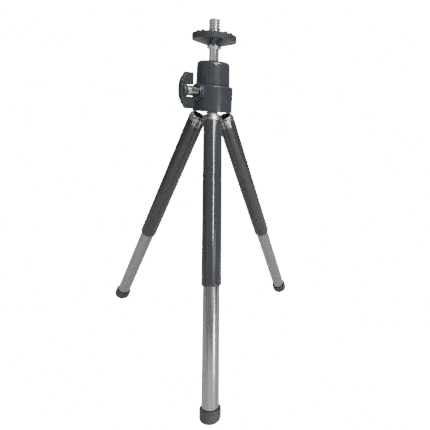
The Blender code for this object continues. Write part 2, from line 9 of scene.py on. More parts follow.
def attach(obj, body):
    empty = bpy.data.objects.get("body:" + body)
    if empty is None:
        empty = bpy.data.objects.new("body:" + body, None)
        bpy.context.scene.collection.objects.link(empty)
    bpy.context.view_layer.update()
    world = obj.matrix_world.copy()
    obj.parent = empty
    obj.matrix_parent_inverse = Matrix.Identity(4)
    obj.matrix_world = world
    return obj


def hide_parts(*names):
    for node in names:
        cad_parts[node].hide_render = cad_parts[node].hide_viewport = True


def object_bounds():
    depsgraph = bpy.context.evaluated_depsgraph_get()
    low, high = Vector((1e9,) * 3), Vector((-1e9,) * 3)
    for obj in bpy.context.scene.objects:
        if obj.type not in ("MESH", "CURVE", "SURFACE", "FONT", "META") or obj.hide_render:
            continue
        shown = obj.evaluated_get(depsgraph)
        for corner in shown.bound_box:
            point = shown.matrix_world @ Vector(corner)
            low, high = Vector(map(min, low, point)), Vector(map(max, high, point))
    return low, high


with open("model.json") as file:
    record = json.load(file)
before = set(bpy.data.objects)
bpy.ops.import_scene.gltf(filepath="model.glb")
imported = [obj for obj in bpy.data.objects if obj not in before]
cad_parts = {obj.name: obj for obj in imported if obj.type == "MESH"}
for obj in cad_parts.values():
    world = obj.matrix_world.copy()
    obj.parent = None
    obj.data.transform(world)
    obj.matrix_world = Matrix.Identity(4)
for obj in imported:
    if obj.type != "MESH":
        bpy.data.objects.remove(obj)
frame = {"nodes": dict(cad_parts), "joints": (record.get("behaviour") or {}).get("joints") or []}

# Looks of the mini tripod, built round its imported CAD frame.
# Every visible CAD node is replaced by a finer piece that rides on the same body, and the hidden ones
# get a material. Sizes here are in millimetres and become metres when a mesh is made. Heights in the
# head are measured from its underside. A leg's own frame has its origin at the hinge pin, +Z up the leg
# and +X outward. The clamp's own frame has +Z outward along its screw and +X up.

MM = 0.001
GAP = 0.3
CAD_BOX = [list(corner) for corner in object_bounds()]
SIDES = ("front", "right", "left")

# Smoothness
ROUND_STEPS = 96
FINE_STEPS = 144
RIBBED_STEPS = 360
DOME_STEPS = 12
SHARP_ANGLE = math.radians(38)
BEVEL_ANGLE = math.radians(32)
OWN_PLACE = "own_place"

# Corner radii
FINE_EDGE = 0.1
LIGHT_EDGE = 0.15
SOFT_EDGE = 0.2
ROUND_EDGE = 0.3

# Legs, measured down from the leg line's crossing with the head's underside
HINGE_DOWN = 3.2
TUBE_TOP_DOWN = 6.3
TUBE_END_DOWN = 90.0
TUBE_RADIUS = 5.0
TUBE_WALL = 0.5
TUBE_ROLL = 0.9
TUBE_ROLL_INSET = 0.3
LOWER_TOP_DOWN = 66.0
LOWER_RADIUS = 4.15
FOOT_RIM_DOWN = 144.7
FOOT_RADIUS = 5.12
FOOT_LENGTH = 6.05
FOOT_SOCKET_DEPTH = 4.0
FOOT_FIT = 0.06
FOOT_ROUNDING = 2.6
SOLE_MARGIN = 2.7
TREAD_MARGIN = 2.0
TREAD_DEPTH = 0.12
TREAD_SPACING = 0.9

# Leg caps
CAP_CROWN_DOWN = 1.6
CAP_CROWN_RADIUS = 2.4
CAP_GROOVE_DOWN = 3.6
CAP_GROOVE_DEPTH = 0.62
CAP_GROOVE_HALF = 0.12
CAP_INSET = 0.25
CAP_DOME_LIFT = 0.22
PLUG_END_DOWN = 11.0
HINGE_SLOT_WIDTH = 2.6
HINGE_SLOT_OUTER = 2.3
HINGE_SLOT_DOWN = 5.6
HINGE_ROOF_START = 0.2
HINGE_ROOF = 1.25
TINE_ANGLES = (104, 119, 134, 149)
TINE_WIDTH = 0.7
TINE_LENGTH = 2.3
TINE_DEPTH = 1.2
TINE_OVERLAP = 0.8
TINE_CLEARANCE = 0.05

# Hub and its fasteners
PIN_RADIUS = 0.7
PIN_HALF_LENGTH = 4.6
PIN_HEAD_RADIUS = 0.92
PIN_HEAD_DOME = 0.45
PIN_HEAD_THICKNESS = 0.6
HUB_RADIUS = 3.2
HUB_HEIGHT = 6.9
TONGUE_THICKNESS = 2.3
TONGUE_EYE_RADIUS = 1.15
HUB_SCREW_RADIUS = 1.6
HUB_SCREW_HEAD_RADIUS = 2.8
HUB_SCREW_HEAD_HEIGHT = 1.6
HUB_SCREW_DEPTH = 2.6
RECESS_REACH = 1.3
RECESS_TAPER = 0.4
RECESS_HALF_WIDTH = 0.35
RECESS_TURNS = (20, 110)
WASHER_THICKNESS = 0.6

# Head
BASE_RADIUS = 10.96
BASE_HEIGHT = 13.6
BASE_FLOOR = 3.2
SPIGOT_RADIUS = 8.2
SPIGOT_FIT = 0.08
BASE_SHOULDER = 0.9
CUP_RADIUS_LOW = 9.25
CUP_RADIUS_HIGH = 8.9
CUP_TOP = 25.9
CUP_ROUNDING = 2.5
MOUTH_ROUNDING = 0.25
BALL_RADIUS = 6.2
BALL_HEIGHT = 17.6
BALL_NECK_RADIUS = 2.5
BALL_NECK_DEPTH = 0.6
LIP_RADIUS = 4.6
MOUTH_RADIUS = 6.9
SLOT_HALF_WIDTH = 3.1

# Clamp, measured out from the head axis
BOSS_RADIUS = 4.2
BOSS_END = 12.3
BOSS_ROOT = SPIGOT_RADIUS + 1.2
INSERT_RADIUS = 3.3
INSERT_START = 8.8
INSERT_END = 12.6
CLAMP_THREAD_RADIUS = 2.2
CLAMP_PITCH = 0.8
CLAMP_THREAD_DEPTH = 0.42
CLAMP_TIP = 7.4
CLAMP_TIP_CHAMFER = 0.5
SHANK_RELIEF = 0.35
SHANK_RADIUS = 2.6
SHANK_START = 12.9
COLLAR_RADIUS = 2.7
COLLAR_START = 19.2
COLLAR_END = 20.2
TANG_RADIUS = 1.5
TANG_END = 22.3
WING_INNER = 15.7
WING_CORNER = 20.6
WING_OUTER = 24.0
WING_HALF_HEIGHT = 8.85
WING_THICKNESS = 2.8
WING_NOTCH = 2.85
WING_FULLNESS = 2.6
WING_SCALLOPS = 8
WING_SCALLOP_DEPTH = 0.2
WING_TIP_ROUNDING = 0.7
WING_NOTCH_ROUNDING = 0.5
WING_EDGE_ROUNDING = 0.45
KNOB_HUB_END = 22.9
KNOB_HUB_RADIUS = 3.0

# Stem, lock disc and pad
STEM_RADIUS = 2.7
STEM_SPIGOT_RADIUS = 1.9
STEM_SPIGOT_DEPTH = 4.0
FLANGE_RADIUS = 3.9
FLANGE_BOTTOM = 32.4
FLANGE_TOP = 33.8
SCREW_RADIUS = 3.175
SCREW_TOP = 46.7
SCREW_PITCH = 1.27
THREAD_CREST = 0.36
THREAD_FLANK = 0.34
THREAD_FADE = 0.9
THREAD_DEPTH = 0.6134 * SCREW_PITCH
TIP_CHAMFER = 0.7
TIP_STEP = 0.1
DISC_BOTTOM = 34.1
DISC_HUB_RADIUS = 4.8
DISC_RIM_BOTTOM = 36.0
DISC_TOP = 39.2
DISC_RADIUS = 11.75
DISC_RIBS = 60
DISC_FLUTES = 18
RIB_DEPTH = 0.13
RIB_SHARPNESS = 1.5
FLUTE_DEPTH = 0.06
PAD_FIT = 0.08
PAD_RADIUS = 10.3
PAD_BED = 38.2
PAD_FACE = 39.25
PAD_TOP = 40.1
PAD_NUBS = 14
NUB_RING_RADIUS = 9.2
NUB_RADIUS = 0.98
NUB_PHASE = math.radians(-80)
NUB_STEEPNESS = 2.4

# Studio: the lamps' and patches' azimuths are counted from the camera's side, positive to its right
VIEW_AZIMUTH = math.radians(-93)
BACKGROUND_WHITE = 20.0
FLOOR_RINGS = (0, 150, 400, 1000, 2500)
FLOOR_DROP = 0.02

# Azimuth, elevation, inner and outer angle (degrees) and brightness of each soft patch of the room
ROOM_PATCHES = (
    (0, 90, 10, 170, 0.5),
    (-15, 8, 15, 75, 0.15),
    (-52, 10, 4, 14, 0.4),
    (180, 0, 20, 60, 0.2),
)

# Name, azimuth (degrees), distance and height of the middle (m), width and height (m) and power (W) of lamps
LAMPS = (
    ("key_strip", 18, 0.78, 0.60, 0.05, 0.34, 6.5),
    ("stem_window", 32, 0.90, 0.37, 0.40, 0.10, 0.6),
    ("steel_strip", 38, 0.50, 0.06, 0.07, 0.07, 0.9),
    ("top_bar", 34, 0.50, 0.67, 0.48, 0.14, 8.0),
    ("front_fill", -5, 0.35, 0.02, 0.30, 0.10, 0.12),
    ("overhead_softbox", 0, 0.04, 1.24, 1.0, 1.0, 7.5),
)

# Camera: place in metres, aim in radians, lens in mm
CAMERA_PLACE = Vector((-0.00902, -0.16618, 0.14337))
CAMERA_YAW = -0.1884
CAMERA_PITCH = 0.2665
CAMERA_ROLL = 0.0680
CAMERA_LENS = 26.49
CAMERA_SHIFT = (-0.0870, -0.0541)

joints = {joint["name"]: joint for joint in frame["joints"]}


# ---- frames

def frame_matrix(origin, up, toward):
    """A right-handed frame at origin whose Z is up and whose X leans toward a direction."""
    z_axis = Vector(up).normalized()
    toward = Vector(toward)
    x_axis = (toward - z_axis * toward.dot(z_axis)).normalized()
    y_axis = z_axis.cross(x_axis)
    matrix = Matrix((x_axis, y_axis, z_axis)).transposed().to_4x4()
    matrix.translation = Vector(origin)
    return matrix


def leg_frame(side):
    hinge = Vector(joints["leg_fold_" + side]["pos_m"])
    outward = hinge - Vector(joints["head_pan"]["pos_m"])
    outward.z = 0
    return frame_matrix(hinge, joints["leg_slide_" + side]["axis"], outward)


UP = Vector((0, 0, 1))
HEAD = frame_matrix(joints["head_pan"]["pos_m"], UP, (1, 0, 0))
BALL = frame_matrix(joints["ball_tilt"]["pos_m"], UP, (1, 0, 0))
CLAMP = frame_matrix(joints["knob_spin"]["pos_m"], joints["knob_spin"]["axis"], UP)
LEGS = {side: leg_frame(side) for side in SIDES}


def from_hinge(down):
    return HINGE_DOWN - down


# ---- mesh tools

def rounded(corners, closed=False, steps=4):
    """A path through (x, y) or (x, y, radius) corners, each rounded to its radius."""
    path = []
    count = len(corners)
    for index, corner in enumerate(corners):
        point = Vector(corner[:2])
        is_end = not closed and index in (0, count - 1)
        if len(corner) < 3 or is_end:
            path.append(tuple(point))
            continue
        before = Vector(corners[index - 1][:2]) - point
        after = Vector(corners[(index + 1) % count][:2]) - point
        half = before.angle(after) / 2
        reach = min(corner[2] / math.tan(half), before.length * 0.49, after.length * 0.49)
        radius = reach * math.tan(half)
        start = point + before.normalized() * reach
        centre = point + (before.normalized() + after.normalized()).normalized() * radius / math.sin(half)
        end = point + after.normalized() * reach
        first = math.atan2(start.y - centre.y, start.x - centre.x)
        turn = math.atan2(end.y - centre.y, end.x - centre.x) - first
        turn = (turn + math.pi) % math.tau - math.pi
        for step in range(steps + 1):
            angle = first + turn * step / steps
            path.append((centre.x + radius * math.cos(angle), centre.y + radius * math.sin(angle)))
    return path


def arc(centre, radius, start, end, steps):
    """Points along an arc about centre, its angles measured from +x towards +y."""
    angles = [start + (end - start) * step / steps for step in range(steps + 1)]
    return [(centre[0] + radius * math.cos(a), centre[1] + radius * math.sin(a)) for a in angles]


def levels(low, high, spacing):
    """Heights from low to high, about spacing apart."""
    count = max(1, round((high - low) / spacing))
    return [low + (high - low) * step / count for step in range(count + 1)]


def make_mesh(name, points, faces):
    """A closed mesh in metres from points in millimetres, with its faces turned outward."""
    mesh = bpy.data.meshes.new(name)
    mesh.from_pydata([Vector(point) * MM for point in points], [], faces)
    shape = bmesh.new()
    shape.from_mesh(mesh)
    bmesh.ops.recalc_face_normals(shape, faces=shape.faces)
    shape.to_mesh(mesh)
    shape.free()
    return mesh


def lathe(name, profile, steps=ROUND_STEPS, closed=False, shape=None):
    """Turns (radius, height) points about Z.

    shape(radius, height, angle) gives a point's new radius and height.
    """
    points = []
    rows = []
    for radius, height in profile:
        if radius < MM:
            rows.append([len(points)] * steps)
            points.append((0, 0, height))
            continue
        rows.append(list(range(len(points), len(points) + steps)))
        for step in range(steps):
            angle = math.tau * step / steps
            out, up = shape(radius, height, angle) if shape else (radius, height)
            points.append((out * math.cos(angle), out * math.sin(angle), up))
    if closed:
        rows.append(rows[0])
    faces = []
    for row, following in zip(rows, rows[1:]):
        for step in range(steps):
            after = (step + 1) % steps
            face = (row[step], row[after], following[after], following[step])
            face = list(dict.fromkeys(face))
            if len(face) > 2:
                faces.append(face)
    return make_mesh(name, points, faces)


def prism(name, outline, low, high):
    """A plate whose outline lies in XZ and which reaches from low to high along Y."""
    count = len(outline)
    points = [(x, low, z) for x, z in outline] + [(x, high, z) for x, z in outline]
    faces = [list(range(count)), list(range(count, 2 * count))]
    for index in range(count):
        after = (index + 1) % count
        faces.append([index, after, count + after, count + index])
    return make_mesh(name, points, faces)


def block(name, low, high):
    """A box between two corners."""
    outline = [(low[0], low[2]), (high[0], low[2]), (high[0], high[2]), (low[0], high[2])]
    return prism(name, outline, low[1], high[1])


def rod(name, radius, low, high, steps=ROUND_STEPS):
    return lathe(name, [(0, high), (radius, high), (radius, low), (0, low)], steps)


def moved(mesh, matrix):
    """The mesh after a move given in millimetres."""
    change = matrix.copy()
    change.translation = matrix.translation * MM
    mesh.transform(change)
    return mesh


def turned_about(axis, degrees):
    return Matrix.Rotation(math.radians(degrees), 4, axis)


def evaluated(mesh, *modifiers):
    """The mesh after modifiers, each a (kind, settings) pair."""
    holder = bpy.data.objects.new("holder", mesh)
    bpy.context.scene.collection.objects.link(holder)
    for kind, settings in modifiers:
        modifier = holder.modifiers.new(kind, kind)
        for setting, value in settings.items():
            setattr(modifier, setting, value)
    depsgraph = bpy.context.evaluated_depsgraph_get()
    result = bpy.data.meshes.new_from_object(holder.evaluated_get(depsgraph))
    result.name = mesh.name
    bpy.data.objects.remove(holder)
    return result


def combined(mesh, operation, *tools):
    """The mesh joined with tools, or with them cut away."""
    helpers = []
    modifiers = []
    for tool in tools:
        helper = bpy.data.objects.new("tool", tool)
        bpy.context.scene.collection.objects.link(helper)
        helpers.append(helper)
        modifiers.append(("BOOLEAN", {"operation": operation, "solver": "EXACT", "object": helper}))
    result = evaluated(mesh, *modifiers)
    for helper in helpers:
        bpy.data.objects.remove(helper)
    return result


def softened(mesh, width, segments=2):
    """The mesh with its sharp edges rounded."""
    bevel = {
        "width": width * MM,
        "segments": segments,
        "limit_method": "ANGLE",
        "angle_limit": BEVEL_ANGLE,
        "use_clamp_overlap": True,
        "miter_outer": "MITER_ARC",
    }
    return evaluated(mesh, ("BEVEL", bevel))


def keep_own_place(mesh):
    """Stores each point's place in the mesh's own frame, for textures that run along its axis."""
    places = [value for vertex in mesh.vertices for value in vertex.co]
    mesh.attributes.new(OWN_PLACE, "FLOAT_VECTOR", "POINT").data.foreach_set("vector", places)


def add_piece(name, mesh, matrix, body, material, slot, *nodes):
    """Places a finished mesh as a piece that rides on a body and stands for CAD nodes."""
    keep_own_place(mesh)
    mesh.transform(matrix)
    mesh.shade_smooth()
    mesh.set_sharp_from_angle(angle=SHARP_ANGLE)
    mesh = evaluated(mesh, ("WEIGHTED_NORMAL", {"keep_sharp": True, "weight": 60}))
    mesh.materials.clear()
    mesh.materials.append(material)
    mesh.name = name
    piece = bpy.data.objects.new(name, mesh)
    bpy.context.scene.collection.objects.link(piece)
    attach(piece, body)
    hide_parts(*nodes)
    return piece


# ---- materials

class Finish:
    """A Principled material under construction, with helpers for its nodes."""

    def __init__(self, name, on_cad_node=False):
        self.material = bpy.data.materials.new(name)
        self.material.use_nodes = True
        self.tree = self.material.node_tree
        self.shader = self.tree.nodes["Principled BSDF"]
        if on_cad_node:
            self.place = self.tree.nodes.new("ShaderNodeTexCoord").outputs["Object"]
        else:
            attribute = self.tree.nodes.new("ShaderNodeAttribute")
            attribute.attribute_name = OWN_PLACE
            self.place = attribute.outputs["Vector"]

    def constants(self, **values):
        """Sets plain values on the shader's own sockets."""
        for name, value in values.items():
            self.shader.inputs[name.replace("_", " ")].default_value = value

    def link(self, source, target):
        self.tree.links.new(source, target)

    def stretched(self, x, y, z):
        """Object coordinates scaled along each axis."""
        mapping = self.tree.nodes.new("ShaderNodeMapping")
        mapping.inputs["Scale"].default_value = (x, y, z)
        self.link(self.place, mapping.inputs["Vector"])
        return mapping.outputs["Vector"]

    def noise(self, scale, detail=4.0, rough=0.55, source=None):
        texture = self.tree.nodes.new("ShaderNodeTexNoise")
        texture.inputs["Scale"].default_value = scale
        texture.inputs["Detail"].default_value = detail
        texture.inputs["Roughness"].default_value = rough
        self.link(source or self.place, texture.inputs["Vector"])
        return texture.outputs["Fac"]

    def cells(self, scale):
        texture = self.tree.nodes.new("ShaderNodeTexVoronoi")
        texture.inputs["Scale"].default_value = scale
        self.link(self.place, texture.inputs["Vector"])
        return texture.outputs["Distance"]

    def spread(self, source, low, high, start=0.3, end=0.7):
        """Maps a texture's start to end range onto low to high."""
        ranged = self.tree.nodes.new("ShaderNodeMapRange")
        ranged.inputs["From Min"].default_value = start
        ranged.inputs["From Max"].default_value = end
        ranged.inputs["To Min"].default_value = low
        ranged.inputs["To Max"].default_value = high
        self.link(source, ranged.inputs["Value"])
        return ranged.outputs["Result"]

    def colours(self, source, first, second):
        """Blends two colours by a 0 to 1 value."""
        mix = self.tree.nodes.new("ShaderNodeMix")
        mix.data_type = "RGBA"
        self.link(source, mix.inputs["Factor"])
        for socket, colour in (("A", first), ("B", second)):
            target = [item for item in mix.inputs if item.name == socket and item.type == "RGBA"][0]
            if isinstance(colour, bpy.types.NodeSocket):
                self.link(colour, target)
            else:
                target.default_value = (*colour, 1.0)
        return [item for item in mix.outputs if item.type == "RGBA"][0]

    def edges(self, low, high):
        """0 on flat surfaces rising to 1 on convex edges."""
        geometry = self.tree.nodes.new("ShaderNodeNewGeometry")
        return self.spread(geometry.outputs["Pointiness"], 0.0, 1.0, low, high)

    def product(self, first, second):
        times = self.tree.nodes.new("ShaderNodeMath")
        times.operation = "MULTIPLY"
        self.link(first, times.inputs[0])
        if isinstance(second, bpy.types.NodeSocket):
            self.link(second, times.inputs[1])
        else:
            times.inputs[1].default_value = second
        return times.outputs["Value"]

    def bumps(self, *layers):
        """Stacks (height, depth in mm, strength) layers of bump on the shader's normal."""
        normal = None
        for height, depth, strength in layers:
            bump = self.tree.nodes.new("ShaderNodeBump")
            bump.inputs["Distance"].default_value = depth * MM
            bump.inputs["Strength"].default_value = strength
            self.link(height, bump.inputs["Height"])
            if normal:
                self.link(normal, bump.inputs["Normal"])
            normal = bump.outputs["Normal"]
        self.link(normal, self.shader.inputs["Normal"])

    def white_to_the_eye(self, strength):
        """Makes the surface shine white where it is looked at, without lighting anything."""
        path = self.tree.nodes.new("ShaderNodeLightPath")
        glow = self.tree.nodes.new("ShaderNodeEmission")
        glow.inputs["Strength"].default_value = strength
        mix = self.tree.nodes.new("ShaderNodeMixShader")
        self.link(path.outputs["Is Camera Ray"], mix.inputs[0])
        self.link(self.shader.outputs["BSDF"], mix.inputs[1])
        self.link(glow.outputs["Emission"], mix.inputs[2])
        self.link(mix.outputs["Shader"], self.tree.nodes["Material Output"].inputs["Surface"])

    def colour(self, source):
        self.link(source, self.shader.inputs["Base Color"])

    def roughness(self, source):
        self.link(source, self.shader.inputs["Roughness"])


def moulded_plastic(name):
    """Semi-gloss black plastic with a fine spark-eroded grain and slightly rubbed edges."""
    finish = Finish(name)
    patches = finish.spread(finish.noise(260), 0.0, 1.0)
    base = finish.colours(patches, (0.0190, 0.0215, 0.0255), (0.0225, 0.0250, 0.0295))
    rubbed = finish.product(finish.edges(0.57, 0.67), finish.spread(finish.noise(1400), 0.0, 0.2))
    finish.colour(finish.colours(rubbed, base, (0.06, 0.065, 0.068)))
    finish.roughness(finish.spread(finish.noise(700, 6.0), 0.20, 0.28))
    finish.constants(Specular_IOR_Level=0.30)
    finish.bumps((finish.cells(4200), 0.012, 0.35), (finish.noise(9000, 3.0), 0.008, 0.3))
    return finish.material


def gloss_enamel(name):
    """Gloss black enamel on tube: a faint orange peel and fine rub marks along the tube."""
    finish = Finish(name)
    patches = finish.spread(finish.noise(90), 0.0, 1.0)
    base = finish.colours(patches, (0.0175, 0.0192, 0.0215), (0.0205, 0.0222, 0.0248))
    streaks = finish.noise(1.0, 5.0, 0.6, finish.stretched(1800, 1800, 30))
    rubbed = finish.product(finish.spread(streaks, 0.0, 1.0, 0.62, 0.74), 0.22)
    finish.colour(finish.colours(rubbed, base, (0.07, 0.073, 0.076)))
    finish.roughness(finish.spread(streaks, 0.10, 0.16))
    finish.constants(Specular_IOR_Level=0.36, Coat_Weight=0.15, Coat_Roughness=0.06)
    finish.bumps((finish.noise(850, 2.0), 0.004, 0.15), (streaks, 0.001, 0.1))
    return finish.material


def semi_gloss_paint(name):
    """Semi-gloss black paint on cast metal, softly uneven and slightly rubbed on its edges."""
    finish = Finish(name)
    patches = finish.spread(finish.noise(310), 0.0, 1.0)
    base = finish.colours(patches, (0.0165, 0.0200, 0.0215), (0.0200, 0.0240, 0.0255))
    rubbed = finish.product(finish.edges(0.57, 0.67), finish.spread(finish.noise(1600), 0.0, 0.3))
    finish.colour(finish.colours(rubbed, base, (0.07, 0.07, 0.07)))
    finish.roughness(finish.spread(finish.noise(900, 5.0), 0.24, 0.36))
    finish.constants(Specular_IOR_Level=0.36)
    finish.bumps((finish.noise(1900, 3.0), 0.010, 0.3), (finish.cells(5200), 0.006, 0.25))
    return finish.material


def plating(name, tone, dull, low, high):
    """Plated metal: tone is its brightest colour and dull its darkest, with hazy patches and polish marks."""
    finish = Finish(name)
    haze = finish.spread(finish.noise(420, 5.0), 0.0, 1.0)
    finish.colour(finish.colours(haze, tone, dull))
    marks = finish.noise(1.0, 6.0, 0.6, finish.stretched(900, 900, 5200))
    finish.roughness(finish.spread(marks, low, high))
    finish.constants(Metallic=1.0)
    finish.bumps((marks, 0.0015, 0.3), (finish.noise(1500, 2.0), 0.004, 0.12))
    return finish.material


def drawn_steel(name):
    """Satin steel tube with fine drawing lines along it and faint marks from sliding."""
    finish = Finish(name)
    lines = finish.noise(1.0, 6.0, 0.65, finish.stretched(5200, 5200, 14))
    marks = finish.noise(1.0, 3.0, 0.5, finish.stretched(1300, 1300, 60))
    base = finish.colours(finish.spread(lines, 0.0, 1.0), (0.27, 0.261, 0.250), (0.235, 0.227, 0.218))
    finish.colour(finish.colours(finish.spread(marks, 0.0, 0.4, 0.6, 0.75), base, (0.30, 0.29, 0.28)))
    finish.roughness(finish.spread(lines, 0.19, 0.25))
    finish.constants(Metallic=1.0, Anisotropic=0.35)
    finish.bumps((lines, 0.001, 0.25))
    return finish.material


def matte_rubber(name):
    """Matte moulded rubber with a fine grain and a little dust."""
    finish = Finish(name)
    dust = finish.spread(finish.noise(650, 6.0, 0.7), 0.0, 0.3, 0.45, 0.75)
    patches = finish.spread(finish.noise(240), 0.0, 1.0)
    base = finish.colours(patches, (0.016, 0.0165, 0.0175), (0.024, 0.0245, 0.0255))
    finish.colour(finish.colours(dust, base, (0.050, 0.050, 0.050)))
    finish.roughness(finish.spread(finish.noise(2600), 0.62, 0.85))
    finish.constants(Specular_IOR_Level=0.3, Sheen_Weight=0.08)
    finish.bumps((finish.cells(3600), 0.012, 0.3), (finish.noise(7000), 0.006, 0.3))
    return finish.material


def moulded_nylon(name):
    """Natural nylon, slightly mottled and waxy."""
    finish = Finish(name, on_cad_node=True)
    mottle = finish.spread(finish.noise(500, 5.0), 0.0, 1.0)
    finish.colour(finish.colours(mottle, (0.60, 0.585, 0.53), (0.50, 0.485, 0.43)))
    finish.roughness(finish.spread(finish.noise(2200), 0.40, 0.58))
    finish.bumps((finish.noise(5200), 0.01, 0.3))
    return finish.material


def turned_brass(name):
    """Brass with fine tool marks and dull patches."""
    finish = Finish(name, on_cad_node=True)
    tarnish = finish.spread(finish.noise(600, 5.0), 0.0, 1.0)
    finish.colour(finish.colours(tarnish, (0.66, 0.47, 0.19), (0.48, 0.33, 0.13)))
    marks = finish.noise(1.0, 4.0, 0.6, finish.stretched(900, 900, 7000))
    finish.roughness(finish.spread(marks, 0.20, 0.36))
    finish.constants(Metallic=1.0)
    finish.bumps((marks, 0.003, 0.4))
    return finish.material


PLASTIC = moulded_plastic("moulded_plastic")
ENAMEL = gloss_enamel("gloss_enamel")
KNOB_PAINT = semi_gloss_paint("semi_gloss_paint")
CHROME = plating("bright_plating", (0.74, 0.74, 0.73), (0.60, 0.60, 0.59), 0.07, 0.17)
NICKEL = plating("dull_plating", (0.35, 0.338, 0.315), (0.25, 0.238, 0.22), 0.24, 0.36)
STEEL = drawn_steel("drawn_steel")
RUBBER = matte_rubber("matte_rubber")
NYLON = moulded_nylon("moulded_nylon")
BRASS = turned_brass("turned_brass")
# Plating for the chrome clamp screw with its tone lowered: a painted dark reflection, standing in for the
# dark surroundings the screw reflects
PAINTED_DARK_REFLECTION_PLATING = plating("plating_with_painted_dark_reflection", (0.40, 0.40, 0.385), (0.25, 0.25, 0.24), 0.12, 0.26)
# A much darker plating, used on the thread insert
DARK_INSERT_PLATING = plating("dark_insert_plating", (0.15, 0.155, 0.15), (0.09, 0.095, 0.09), 0.25, 0.40)


# ---- legs

def cap_profile():
    """Half section of a leg cap: a dome, a groove, a plain band and the plug in the tube."""
    crown = from_hinge(CAP_CROWN_DOWN)
    groove = from_hinge(CAP_GROOVE_DOWN)
    seat = from_hinge(TUBE_TOP_DOWN - GAP)
    plug_radius = TUBE_RADIUS - TUBE_WALL - GAP / 3
    plug_end = from_hinge(PLUG_END_DOWN)
    dome_radius = TUBE_RADIUS - CAP_INSET
    dome_foot = groove + CAP_DOME_LIFT
    dome = []
    for step in range(DOME_STEPS + 1):
        angle = math.pi / 2 * step / DOME_STEPS
        radius = CAP_CROWN_RADIUS + (dome_radius - CAP_CROWN_RADIUS) * math.sin(angle)
        dome.append((radius, dome_foot + (crown - dome_foot) * math.cos(angle)))
    band = rounded([
        dome[-1],
        (TUBE_RADIUS - CAP_GROOVE_DEPTH, groove + CAP_GROOVE_HALF, FINE_EDGE),
        (TUBE_RADIUS - CAP_GROOVE_DEPTH, groove - CAP_GROOVE_HALF, FINE_EDGE),
        (TUBE_RADIUS, groove - 0.3, 0.25),
        (TUBE_RADIUS, seat, 0.12),
        (plug_radius, seat, 0.05),
        (plug_radius, plug_end, 0.4),
        (0, plug_end),
    ])
    return [(0, crown)] + dome + band[1:]


def tine_slots(depth_in, depth_out, width, low, high):
    """The narrow blocks of a leg's tines, on its two inward flanks."""
    blocks = []
    for angle in TINE_ANGLES:
        for turn in (angle, -angle):
            blank = block("tine", (depth_in, -width / 2, low), (depth_out, width / 2, high))
            blocks.append(moved(blank, turned_about("Z", turn)))
    return blocks


def make_cap(side):
    cap = lathe("cap", cap_profile())
    half_width = HINGE_SLOT_WIDTH / 2
    floor = from_hinge(HINGE_SLOT_DOWN)
    open_end = (HINGE_ROOF_START, half_width, TUBE_RADIUS)
    open_part = block("slot", (-2 * TUBE_RADIUS, -half_width, floor), open_end)
    roofed_part = block("slot", (-PIN_RADIUS, -half_width, floor), (HINGE_SLOT_OUTER, half_width, HINGE_ROOF))
    slot = combined(open_part, "UNION", roofed_part)
    bore = moved(rod("bore", PIN_RADIUS + GAP, -2 * TUBE_RADIUS, 2 * TUBE_RADIUS, 48), turned_about("X", 90))
    seat = from_hinge(TUBE_TOP_DOWN)
    low = seat - TINE_LENGTH
    tines = tine_slots(TUBE_RADIUS - TINE_DEPTH, TUBE_RADIUS, TINE_WIDTH, low, seat + TINE_OVERLAP)
    cap = combined(cap, "UNION", *tines)
    cap = combined(cap, "DIFFERENCE", slot, bore)
    cap = softened(cap, 0.1)
    add_piece(f"leg_cap_{side}_detailed", cap, LEGS[side], "leg_" + side, NICKEL, "chrome", "leg_cap_" + side)


def make_outer_tube(side):
    top = from_hinge(TUBE_TOP_DOWN)
    end = from_hinge(TUBE_END_DOWN)
    inner = TUBE_RADIUS - TUBE_WALL
    ring = rounded([
        (TUBE_RADIUS, top, 0.12),
        (TUBE_RADIUS, end + TUBE_ROLL, 0.8),
        (TUBE_RADIUS - TUBE_ROLL_INSET, end, SOFT_EDGE),
        (inner - 0.02, end, LIGHT_EDGE),
        (inner, top, 0.08),
    ], closed=True)
    tube = lathe("tube", ring, closed=True)
    width = TINE_WIDTH + 2 * TINE_CLEARANCE
    slots = tine_slots(inner - TUBE_WALL, TUBE_RADIUS + 1, width, top - TINE_LENGTH - TINE_CLEARANCE, top + 1)
    tube = combined(tube, "DIFFERENCE", *slots)
    name = f"outer_tube_{side}_detailed"
    add_piece(name, tube, LEGS[side], "leg_" + side, ENAMEL, "black_enamel", "outer_tube_" + side)


def make_inner_tube(side):
    top = from_hinge(LOWER_TOP_DOWN)
    end = from_hinge(FOOT_RIM_DOWN) - FOOT_SOCKET_DEPTH + GAP
    inner = LOWER_RADIUS - TUBE_WALL
    ring = rounded([
        (LOWER_RADIUS, top, 0.18),
        (LOWER_RADIUS, end, 0.18),
        (inner, end, FINE_EDGE),
        (inner, top, FINE_EDGE),
    ], closed=True)
    tube = lathe("tube", ring, closed=True)
    name = f"inner_tube_{side}_detailed"
    add_piece(name, tube, LEGS[side], "lower_leg_" + side, STEEL, "satin_steel", "inner_tube_" + side)


def foot_shape(radius, height, angle):
    """Shallow tread rings under the foot."""
    bottom = from_hinge(FOOT_RIM_DOWN) - FOOT_LENGTH
    on_sole = height < bottom + 0.05 and radius < FOOT_RADIUS - TREAD_MARGIN
    if on_sole:
        height += TREAD_DEPTH * (1 - math.cos(math.tau * radius / TREAD_SPACING))
    return radius, height


